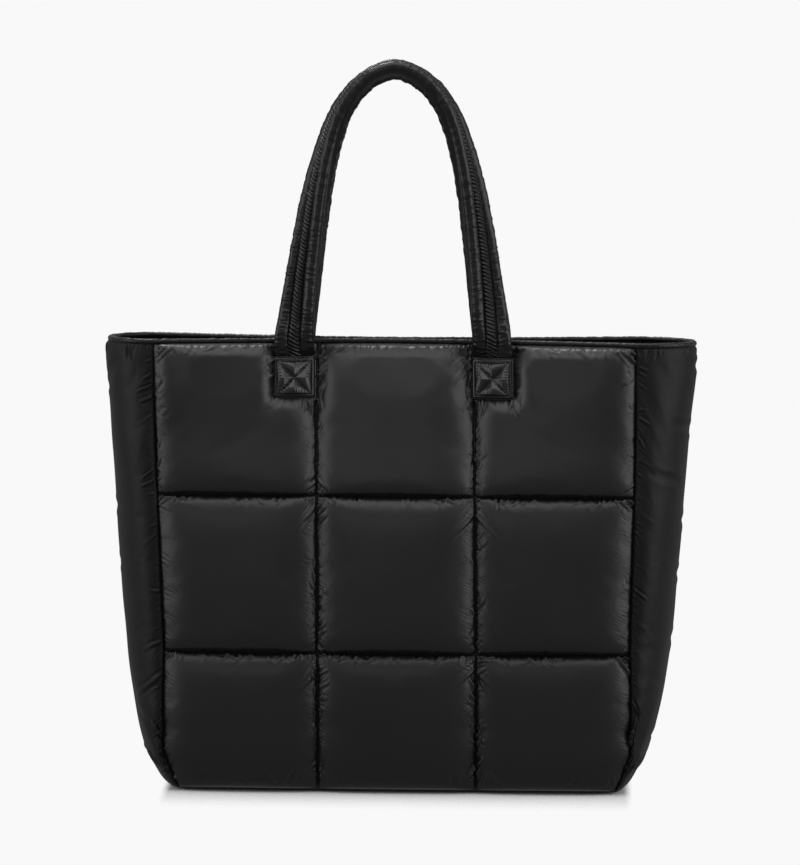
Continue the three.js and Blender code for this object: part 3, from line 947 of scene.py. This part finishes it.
def strapPoints(s, around, facing, lift=0):
    # s runs along the strap from one end to the other; gives the points and the way they face
    row = strapAt(s)
    near = 0.0005
    ahead, behind = strapAt(np.minimum(s + near, strapAlong[-1])), strapAt(np.maximum(s - near, 0))
    way = (ahead - behind)[:, :3] * (1, -1, 1)
    way /= np.linalg.norm(way, axis=1)[:, None]
    front = np.array([[0.0, -1.0, 0.0]]) + way[:, 1][:, None] * way
    front /= np.linalg.norm(front, axis=1)[:, None]
    outwards = np.cross(front, way)
    cos, sin = np.cos(row[:, 3])[:, None], np.sin(row[:, 3])[:, None]
    normal = front * cos + outwards * sin
    widthways = outwards * cos - front * sin
    across, full, _, _, face = strapSection(around)
    tongue = smoothStep(*strap["tongueFade"], row[:, 5])
    full = mix(full, pillow(across + 0.5, 12), tongue)
    # the edge seam lies behind the middle, so the outer face is the fuller one
    offset = strap["seamBack"] * (1 - tongue)
    lift = lift * (1 - tongue)
    height = row[:, 5] * (face * full * (0.5 + face * offset) - offset) + face * lift
    points = row[:, :3] * (1, -1, 1)
    sideways = across * row[:, 4] + lift * np.sign(across) * (across * 2) ** 4
    points = points - widthways * sideways[:, None] + normal * height[:, None]
    wallShare = np.minimum(1, shareOfHeight(points[:, 2]))
    spanX = np.full(len(s), patchSize["spacing"] / 2)
    bend = depthAt(points[:, 0], wallShare) - depthAt(spanX, wallShare)
    seat = (seatAt(points[:, 0]) - seatAt(spanX)) * smoothStep(wallTop, patchTop, points[:, 2])
    points[:, 1] -= row[:, 6] * (bend + seat)
    points[:, 0] += strap["shift"][facing]
    return points, normal * face[:, None]


def fromTopAt(s):
    # 0 about a handle's highest point, rising to 1 down both halves
    return smoothStep(*strap["top"], np.abs(s - strapAlong[-1] / 2))


def strapGathers(s, around, seed):
    # crumpled cloth, with curved folds across the outer channels
    across, _, channel, share, face = strapSection(around)
    onFace = across * strap["width"] + strap["faceShift"] * face
    place = stacked(s, onFace, 0)
    toEdge = np.abs(across * 2)  # 1 at the strap's edges
    crumple = ripple(place * (1, 0.5, 1), strap["crumpleSize"], seed + 1) * strap["crumple"]
    fromTop = fromTopAt(s)
    fine = ripple(place * (1.2, 0.25, 1), strap["fineSize"], seed + 2)
    crumple += fine * strap["crumple"] * strap["fineCrumple"] * fromTop
    creases = strokes(s, onFace, strapCreases()) * mix(0.3, 1, fromTop) * (1 - toEdge ** 6)
    atTop = 1 - smoothStep(*strap["apex"], np.abs(s - strapAlong[-1] / 2))
    crumple = crumple * mix(1, 2.2 * toEdge ** 1.5, atTop) * (1 - fromTop * toEdge ** 16)
    return np.where(channel == 1, 0.3, 1.0) * (crumple + creases) * pillow(share, mix(10, 2, fromTop))


def ropeRun(s, around):
    # the middle channel is gathered like a rope: its slanting run for the material, and where it is
    across, _, channel, share, face = strapSection(around)
    run = s + strap["slant"] * across * strap["width"] * face
    return run, np.where(channel == 1, pillow(share, 2), 0)


def strapCreases():
    # curved folds across the outer channels, close together near the mouth
    marks = []
    first, half = strapAlong[4], strapAlong[-1] / 2
    for face in (1, -1):
        for edge, way in ((-0.5, 1), (0.5, -1)):
            for step in range(strap["creases"]):
                fromEnd = first + (half - first) * (step / strap["creases"]) ** 1.5
                s = fromEnd if draw.random() < 0.5 else strapAlong[-1] - fromEnd
                start = edge * strap["width"] * draw.uniform(0.55, 0.98) + strap["faceShift"] * face
                angle = math.radians(90 * way + draw.normal(0, 16))
                marks.append((
                    s + draw.uniform(-0.001, 0.001), start, angle,
                    *(draw.uniform(*strap[name]) for name in ("creaseLength", "creaseWidth", "creaseHeight")),
                ))
    return marks


def handlePiece(name, facing, seed):
    piece, u, v = clothGrid(name, strap["along"], strap["around"])
    s = u * strapAlong[-1]
    points, _ = strapPoints(s, v, facing, strapGathers(s, v, seed))
    writePoints(piece, standing(points, facing))
    across, _, _, _, face = strapSection(v)
    run, inMiddle = ropeRun(s, v)
    keep(piece, "cut", s, (across + face) * strap["width"], run)
    keep(piece, "gather", fromTopAt(s), fromTopAt(s), inMiddle)
    mergeEdges(piece, caps=True)
    return piece


frontHandle = handlePiece("front_strap", 1, 21)
backHandle = handlePiece("back_strap", -1, 31)
print("handles made")


# Patches
patchMesh = {
    "across": 72,
    "underAcross": 12,
    "rows": (0.0012, 0.0032),  # the two rows of stitching, from the edge
    "groove": 0.0008,
    "grooveWidth": 0.0006,
    "pleat": 0.0021,
    "pleatHeight": 0.0004,
    "pleatFade": 0.0028,
    "fullFrom": 0.006,  # from the hem to where the triangles are full
    "crossFrom": 0.0068,  # and from the crossed rows
    "edge": 0.0009,  # the hem thins down by this much
    "thinnest": 0.25,  # the least cloth that is left anywhere, as a share of its thickness
    "crumple": ((0.0001, 0.0022), (0.0004, 0.006)),  # how high and how large, twice
}


def patchPoints(across, along, middle, facing, face, lift=0):
    # across and along run from -0.5 to 0.5; middle is -1 for the left patch and 1 for the right
    x = middle * patchSize["spacing"] / 2 + across * patchSize["width"]
    z = (patchBottom + patchTop) / 2 + along * patchSize["height"]
    under = depthAt(x, shareOfHeight(z)) + wall["seamThickness"] / 2 + seatAt(x)
    # the middle is raised by the strap's end under it, the hem on three sides lies on the wall
    rise = smoothStep(0, patchSize["hem"] * 0.9, (0.5 - np.abs(across)) * patchSize["width"])
    rise = rise * smoothStep(0, patchSize["hem"] * 0.9, (0.5 + along) * patchSize["height"])
    under = under + (strap["tongueThickness"] + gap) * rise
    depth = under + (patchSize["cloth"] + lift if face > 0 else 0)
    return stacked(x + strap["shift"][facing], -depth, z)


def patchLift(across, along):
    # four puffed triangles between the crossed rows of stitching, inside a flat hem
    a, b = across * patchSize["width"], along * patchSize["height"]
    toEdge = np.minimum(patchSize["width"] / 2 - np.abs(a), patchSize["height"] / 2 - np.abs(b))
    toCross = np.abs(np.abs(a) - np.abs(b)) / math.sqrt(2)
    inner = toEdge - patchSize["hem"]
    full = np.clip(inner / patchMesh["fullFrom"], 0, 1) * np.clip(toCross / patchMesh["crossFrom"], 0, 1)
    lift = patchSize["puff"] * np.sqrt(full)
    # gathers that run in from the hem
    alongEdge = np.where(np.abs(a) / patchSize["width"] > np.abs(b) / patchSize["height"], b, a)
    wavy = ripple(stacked(a, b, 0), 0.006, 51)
    gathered = np.cos((alongEdge / patchMesh["pleat"] + 0.5 * wavy) * 2 * math.pi)
    gathered = gathered * np.clip(inner / 0.001, 0, 1) * np.exp(-inner / patchMesh["pleatFade"])
    lift = lift + patchMesh["pleatHeight"] * gathered
    for row in patchMesh["rows"]:
        lift = lift - patchMesh["groove"] * np.exp(-((toEdge - row) / patchMesh["grooveWidth"]) ** 2)
    lift = lift + patchMesh["edge"] * (smoothStep(0.0, 0.0005, toEdge) - 1)
    return np.maximum(lift, patchSize["cloth"] * (patchMesh["thinnest"] - 1))


def patchPiece(name, facing, middle, seed):
    piece, u, v = clothGrid(name, patchMesh["across"], patchMesh["across"])
    across, along = u - 0.5, v - 0.5
    lift = patchLift(across, along)
    flat = stacked(across * patchSize["width"], along * patchSize["height"], 0)
    crumple = sum(high * ripple(flat, size, seed + i) for i, (high, size) in enumerate(patchMesh["crumple"]))
    lift = lift + crumple * (lift > 0)
    points = patchPoints(across, along, middle, facing, 1, lift)
    writePoints(piece, points)
    keep(piece, "cut", *flat.T)
    keep(piece, "gather", u * 0 + 0.5, 0.5, 0)
    under, u, v = clothGrid("under", patchMesh["underAcross"], patchMesh["underAcross"])
    writePoints(under, patchPoints(u - 0.5, v - 0.5, middle, facing, -1))
    closeBehind(piece, under)
    writePoints(piece, standing(readPoints(piece), facing))
    return piece


patches = {}
for facing, word in ((1, "front"), (-1, "back")):
    for middle in (-1, 1):
        # seen from the front of the bag
        sideWord = "right" if middle * facing > 0 else "left"
        name = f"{word}_patch_{sideWord}"
        patches[name] = patchPiece(f"{name}_cloth", facing, middle, 40 + 3 * middle + facing)
print("patches made")


# Thread
thread = {"length": 0.0024, "gap": 0.0009, "radius": 0.00028, "proud": 0.35}  # proud in radii


def stitchesOn(name, runs):
    # each run is a stitch's two ends and the way it faces; every stitch is a short six-sided rod
    bm = bmesh.new()
    radius = thread["radius"]
    for start, end, normal in runs:
        way = end - start
        made = bmesh.ops.create_cone(
            bm, cap_ends=True, segments=6, radius1=radius, radius2=radius, depth=way.length)
        turn = way.to_track_quat("Z", "Y").to_matrix().to_4x4()
        spot = (start + end) / 2 + normal * radius * thread["proud"]
        bmesh.ops.transform(bm, matrix=Matrix.Translation(spot) @ turn, verts=made["verts"])
    piece = pieceFrom(name, bm)
    piece.data.shade_smooth()
    return piece


def stepsAlong(length):
    pitch = thread["length"] + thread["gap"]
    count = int(length / pitch)
    starts = (np.arange(count) + 0.5) * length / count - thread["length"] / 2
    return starts / length, (starts + thread["length"]) / length


def patchStitches(facing, middle):
    width, height, hem = patchSize["width"], patchSize["height"], patchSize["hem"]
    runs = []
    lines = []
    for inset in patchMesh["rows"]:
        a, b = 0.5 - inset / width, 0.5 - inset / height
        corners = [(-a, -b), (a, -b), (a, b), (-a, b)]
        lines += [(corners[i], corners[(i + 1) % 4]) for i in range(4)]
    a, b = 0.5 - hem / width, 0.5 - hem / height
    lines += [((-a, -b), (a, b)), ((-a, b), (a, -b))]
    for (a0, b0), (a1, b1) in lines:
        length = math.hypot((a1 - a0) * width, (b1 - b0) * height)
        for start, end in zip(*stepsAlong(length)):
            share = np.array([start, end])
            across, along = mix(a0, a1, share), mix(b0, b1, share)
            points = patchPoints(across, along, middle, facing, 1, patchLift(across, along))
            points = standing(points, facing)
            runs.append((Vector(points[0]), Vector(points[1]), Vector((0, -facing, 0))))
    return runs


def strapStitches(facing):
    first = strapAlong[4]
    length = strapAlong[-1] - 2 * first
    starts, ends = stepsAlong(length)
    s = stacked(starts, ends).ravel() * length + first
    runs = []
    # the grooves lie a third and two thirds of the way over each face
    for around in (1 / 6, 2 / 6, 4 / 6, 5 / 6):
        points, normals = strapPoints(s, np.full(len(s), around + 1e-6), facing)
        points = standing(points, facing)
        normals = turnRound(normals) if facing < 0 else normals
        for i in range(0, len(s), 2):
            runs.append((Vector(points[i]), Vector(points[i + 1]), Vector(normals[i])))
    return runs


frontThread = stitchesOn("front_thread", patchStitches(1, -1) + patchStitches(1, 1) + strapStitches(1))
backThread = stitchesOn("back_thread", patchStitches(-1, -1) + patchStitches(-1, 1) + strapStitches(-1))
print("stitches made")


# Materials
class Value:
    # the output of a shader node, which can be used in sums
    def __init__(self, shader, socket):
        self.shader, self.socket = shader, socket

    def sum(self, operation, first, second):
        return self.shader.add("ShaderNodeMath", {"operation": operation}, {0: first, 1: second})

    def __add__(self, other):
        return self.sum("ADD", self, other)

    def __radd__(self, other):
        return self.sum("ADD", other, self)

    def __sub__(self, other):
        return self.sum("SUBTRACT", self, other)

    def __rsub__(self, other):
        return self.sum("SUBTRACT", other, self)

    def __mul__(self, other):
        return self.sum("MULTIPLY", self, other)

    def __rmul__(self, other):
        return self.sum("MULTIPLY", other, self)

    def sine(self):
        return self.sum("SINE", self, 0.0)


class Shader:
    # the nodes of a material or of the world
    def __init__(self, owner):
        owner.use_nodes = True
        self.nodes, self.links = owner.node_tree.nodes, owner.node_tree.links
        self.nodes.clear()

    def add(self, kind, settings, sockets, output=0):
        made = self.nodes.new(kind)
        for name, value in settings.items():
            setattr(made, name, value)
        for name, value in sockets.items():
            if isinstance(value, Value):
                self.links.new(value.socket, made.inputs[name])
            else:
                made.inputs[name].default_value = value
        return Value(self, made.outputs[output]) if made.outputs else None

    def noise(self, point, scale, detail=2.0, roughness=0.5):
        # the scale is one number, or one for each axis to draw the noise out
        if isinstance(scale, tuple):
            point, scale = self.add("ShaderNodeMapping", {}, {"Vector": point, "Scale": scale}), 1.0
        sockets = {"Vector": point, "Scale": scale, "Detail": detail, "Roughness": roughness}
        return self.add("ShaderNodeTexNoise", {}, sockets, "Fac")

    def vector(self, operation, *values, output="Vector"):
        return self.add("ShaderNodeVectorMath", {"operation": operation}, dict(enumerate(values)), output)

    def stored(self, name):
        return self.add("ShaderNodeAttribute", {"attribute_name": name}, {}, "Vector")

    def place(self):
        return self.add("ShaderNodeTexCoord", {}, {}, "Object")

    def apart(self, vector):
        # the three numbers of a vector
        node = self.add("ShaderNodeSeparateXYZ", {}, {"Vector": vector}).socket.node
        return [Value(self, output) for output in node.outputs]

    def ramp(self, value, low, high):
        return self.add("ShaderNodeMapRange", {"interpolation_type": "SMOOTHSTEP"},
                        {"Value": value, "From Min": low, "From Max": high})

    def colour(self, share, first, second):
        return self.add("ShaderNodeMix", {"data_type": "RGBA"}, {"Factor": share, "A": first, "B": second}, 2)


nylonLook = {
    "colour": (0.0075, 0.0075, 0.0080, 1),
    "worn": (0.0115, 0.0115, 0.0120, 1),
    "roughness": 0.38,
    "gather": 0.0013,  # height of the fine gathers beside a seam
    "upright": (110, 560, 1),  # their noise is long across a seam and short along it
    "level": (560, 120, 1),
    "turn": 0.5,  # radians that the gathers beside an upright seam slant
    "clusters": 75.0,
    "clusterEdges": (0.42, 0.68),
    "crinkle": 0.00022,
    "crinkles": 55.0,
    "weave": 0.000005,
    "threads": 420.0,
    "patches": 14.0,  # scale of the slow changes of colour and shine
    "shineChange": 0.08,
    "sheen": 0.03,
    "sheenRoughness": 0.4,
    "ropeNoise": (140, 40, 0),
    "ropeUneven": 7.0,
}


def nylon(name, roughness, gatherShare=1.0, crinkleShare=1.0, shine=0.5, rope=False):
    material = bpy.data.materials.new(name)
    shader = Shader(material)
    cut, where = shader.stored("cut"), shader.place()
    besideUpright, besideLevel, inMiddle = shader.apart(shader.stored("gather"))
    turned = shader.add("ShaderNodeMapping", {}, {"Vector": cut, "Rotation": (0, 0, nylonLook["turn"])})
    fromUpright = shader.noise(turned, nylonLook["upright"])
    fromLevel = shader.noise(cut, nylonLook["level"])
    clusters = shader.ramp(shader.noise(cut, nylonLook["clusters"], 1.0), *nylonLook["clusterEdges"])
    gathers = ((fromUpright - 0.5) * besideUpright + (fromLevel - 0.5) * besideLevel) * (clusters + 0.15)
    crinkle = shader.noise(where, nylonLook["crinkles"], 3.0, 0.55)
    weave = shader.add("ShaderNodeTexWave", {"bands_direction": "DIAGONAL"},
                       {"Vector": where, "Scale": nylonLook["threads"]}, "Fac")
    height = (gathers * (nylonLook["gather"] * gatherShare)
              + (crinkle - 0.5) * (nylonLook["crinkle"] * crinkleShare)
              + weave * nylonLook["weave"])
    if rope:
        uneven = shader.noise(cut, nylonLook["ropeNoise"])
        turns = shader.apart(cut)[2] * (2 * math.pi / strap["rope"]) + uneven * nylonLook["ropeUneven"]
        height = height + turns.sine() * inMiddle * uneven * (2 * strap["ropeHeight"])
    bump = shader.add("ShaderNodeBump", {}, {"Height": height, "Strength": 1.0, "Distance": 1.0})
    patchy = shader.noise(where, nylonLook["patches"])
    surface = shader.add("ShaderNodeBsdfPrincipled", {}, {
        "Base Color": shader.colour(patchy * 0.5, nylonLook["colour"], nylonLook["worn"]),
        "Roughness": (patchy - 0.5) * nylonLook["shineChange"] + roughness,
        "Normal": bump,
        "Specular IOR Level": shine,
        "Sheen Weight": nylonLook["sheen"],
        "Sheen Roughness": nylonLook["sheenRoughness"],
    })
    shader.add("ShaderNodeOutputMaterial", {}, {"Surface": surface})
    return material


threadLook = {
    "dark": (0.004, 0.004, 0.004, 1),
    "pale": (0.012, 0.012, 0.012, 1),
    "plies": 900.0,
    "roughness": 0.5,
}


def threadMaterial():
    material = bpy.data.materials.new("thread")
    shader = Shader(material)
    ply = shader.noise(shader.place(), threadLook["plies"])
    surface = shader.add("ShaderNodeBsdfPrincipled", {}, {
        "Base Color": shader.colour(ply, threadLook["dark"], threadLook["pale"]),
        "Roughness": threadLook["roughness"],
    })
    shader.add("ShaderNodeOutputMaterial", {}, {"Surface": surface})
    return material


quiltNylon = nylon("quilt_nylon", nylonLook["roughness"])
# the sides' much lower shine is painted shade: it darkens this copy of the quilt nylon below what the lamps
# give, so the sides stay as dark as the quilted face; the extra roughness is the plain cloth's more matte
# look
sideNylon = nylon("side_nylon", nylonLook["roughness"] + 0.12, shine=0.2)
# the base's very low shine is painted shade: this dull copy of the quilt nylon keeps the strip of base seen
# below the walls dark, as the shadow line under them
baseNylon = nylon("base_nylon", nylonLook["roughness"] + 0.25, 0.6, 0.6, shine=0.1)
strapNylon = nylon("strap_nylon", nylonLook["roughness"] - 0.08, 0.35, 0.7, shine=0.36, rope=True)
tapeNylon = nylon("binding_nylon", nylonLook["roughness"] - 0.09, 0.4, 0.8, shine=0.3)
patchNylon = nylon("patch_nylon", nylonLook["roughness"] - 0.10, 0.3, 0.5)
polyester = threadMaterial()
print("materials made")

# What each piece is made of, stands for and is filled with
dressing = [
    (frontQuilting, quiltNylon, "quilted_nylon", "front_panel", 0.8),
    (backQuilting, quiltNylon, "quilted_nylon", "back_panel", 0.8),
    (rightSide, sideNylon, "quilted_nylon", "right_side", 0.7),
    (leftSide, sideNylon, "quilted_nylon", "left_side", 0.7),
    (base, baseNylon, "quilted_nylon", "base", 0.5),
    (bindingTape, tapeNylon, "binding_nylon", "rim_binding", 0.6),
    (frontHandle, strapNylon, "strap_nylon", "front_handle", 0.8),
    (backHandle, strapNylon, "strap_nylon", "back_handle", 0.8),
    *((cloth, patchNylon, "patch_nylon", name, 0.5) for name, cloth in patches.items()),
    (frontThread, polyester, "strap_nylon", None, None),
    (backThread, polyester, "strap_nylon", None, None),
]
for piece, material, slotName, node, fullness in dressing:
    piece.data.materials.clear()
    piece.data.materials.append(material)
    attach(piece, "root")
    if node:
        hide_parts(node)
print("pieces dressed")


# Floor and light
studio = {
    "background": (0.945, 0.945, 0.955),
    "room": 0.22,  # what the cloth sees of the room round it
    "floor": (0.80, 0.80, 0.81, 1),
    "floorReach": 2.5,
    "footprint": (0.176, 0.062, 0),
    "shadowReach": (3.5, 0.28, 1),  # the contact shadow is kept further in front than beside the bag
    "fadeFrom": 0.0,  # the paper fades into the backdrop between these distances from the footprint
    "fadeTo": 0.03,
    # each light's name, place, target, size and watts
    "lights": (
        ("top_box", (0.0, -0.25, 2.2), (0, 0, 0.25), (2.6, 2.0), 28),
        ("left_box", (-2.0, -0.6, 0.9), (0, 0, 0.25), (1.8, 2.0), 17),
        ("right_box", (2.0, -0.6, 0.9), (0, 0, 0.25), (1.8, 2.0), 22),
        ("rim_box", (-0.5, 1.3, 2.2), (-0.05, 0, 0.5), (0.7, 0.5), 14),
        ("front_box", (-0.6, -3.0, 1.6), (0, 0, 0.25), (1.6, 1.0), 3.0),
    ),
}


def softbox(name, place, target, size, watts):
    data = bpy.data.lights.new(name, "AREA")
    data.shape = "RECTANGLE"
    data.size, data.size_y = size
    data.energy = watts
    lamp = link(bpy.data.objects.new(name, data))
    lamp.location = place
    lamp.rotation_euler = (Vector(target) - Vector(place)).to_track_quat("-Z", "Y").to_euler()


def makeFloor():
    # paper under and round the bag, which fades into the backdrop a little way out
    bm = bmesh.new()
    bmesh.ops.create_grid(bm, x_segments=1, y_segments=1, size=studio["floorReach"])
    floor = pieceFrom("floor", bm)
    material = bpy.data.materials.new("floor_paper")
    shader = Shader(material)
    folded = shader.vector("ABSOLUTE", shader.place())
    outside = shader.vector("SUBTRACT", folded, studio["footprint"])
    beside = shader.vector("MAXIMUM", outside, (0, 0, 0))
    away = shader.vector("LENGTH", shader.vector("MULTIPLY", beside, studio["shadowReach"]), output="Value")
    fade = shader.ramp(away, studio["fadeFrom"], studio["fadeTo"])
    paper = shader.add("ShaderNodeBsdfDiffuse", {}, {"Color": studio["floor"]})
    beyond = shader.add("ShaderNodeBsdfTransparent", {}, {})
    both = shader.add("ShaderNodeMixShader", {}, {0: fade, 1: paper, 2: beyond})
    shader.add("ShaderNodeOutputMaterial", {}, {"Surface": both})
    floor.data.materials.append(material)
    floor.visible_glossy = False
    floor.visible_diffuse = False


def makeRoom():
    # the camera sees the backdrop, and the cloth a dimmer white room
    scene.world = bpy.data.worlds.new("studio")
    shader = Shader(scene.world)
    seen = shader.add("ShaderNodeLightPath", {}, {}, "Is Camera Ray")
    felt = shader.add("ShaderNodeBackground", {}, {"Color": (1, 1, 1, 1), "Strength": studio["room"]})
    shown = shader.add("ShaderNodeBackground", {}, {"Color": (*studio["background"], 1)})
    both = shader.add("ShaderNodeMixShader", {}, {0: seen, 1: felt, 2: shown})
    shader.add("ShaderNodeOutputWorld", {}, {"Surface": both})
    for light in studio["lights"]:
        softbox(*light)
    scene.view_settings.view_transform = "Standard"


makeFloor()
makeRoom()
print("studio set")
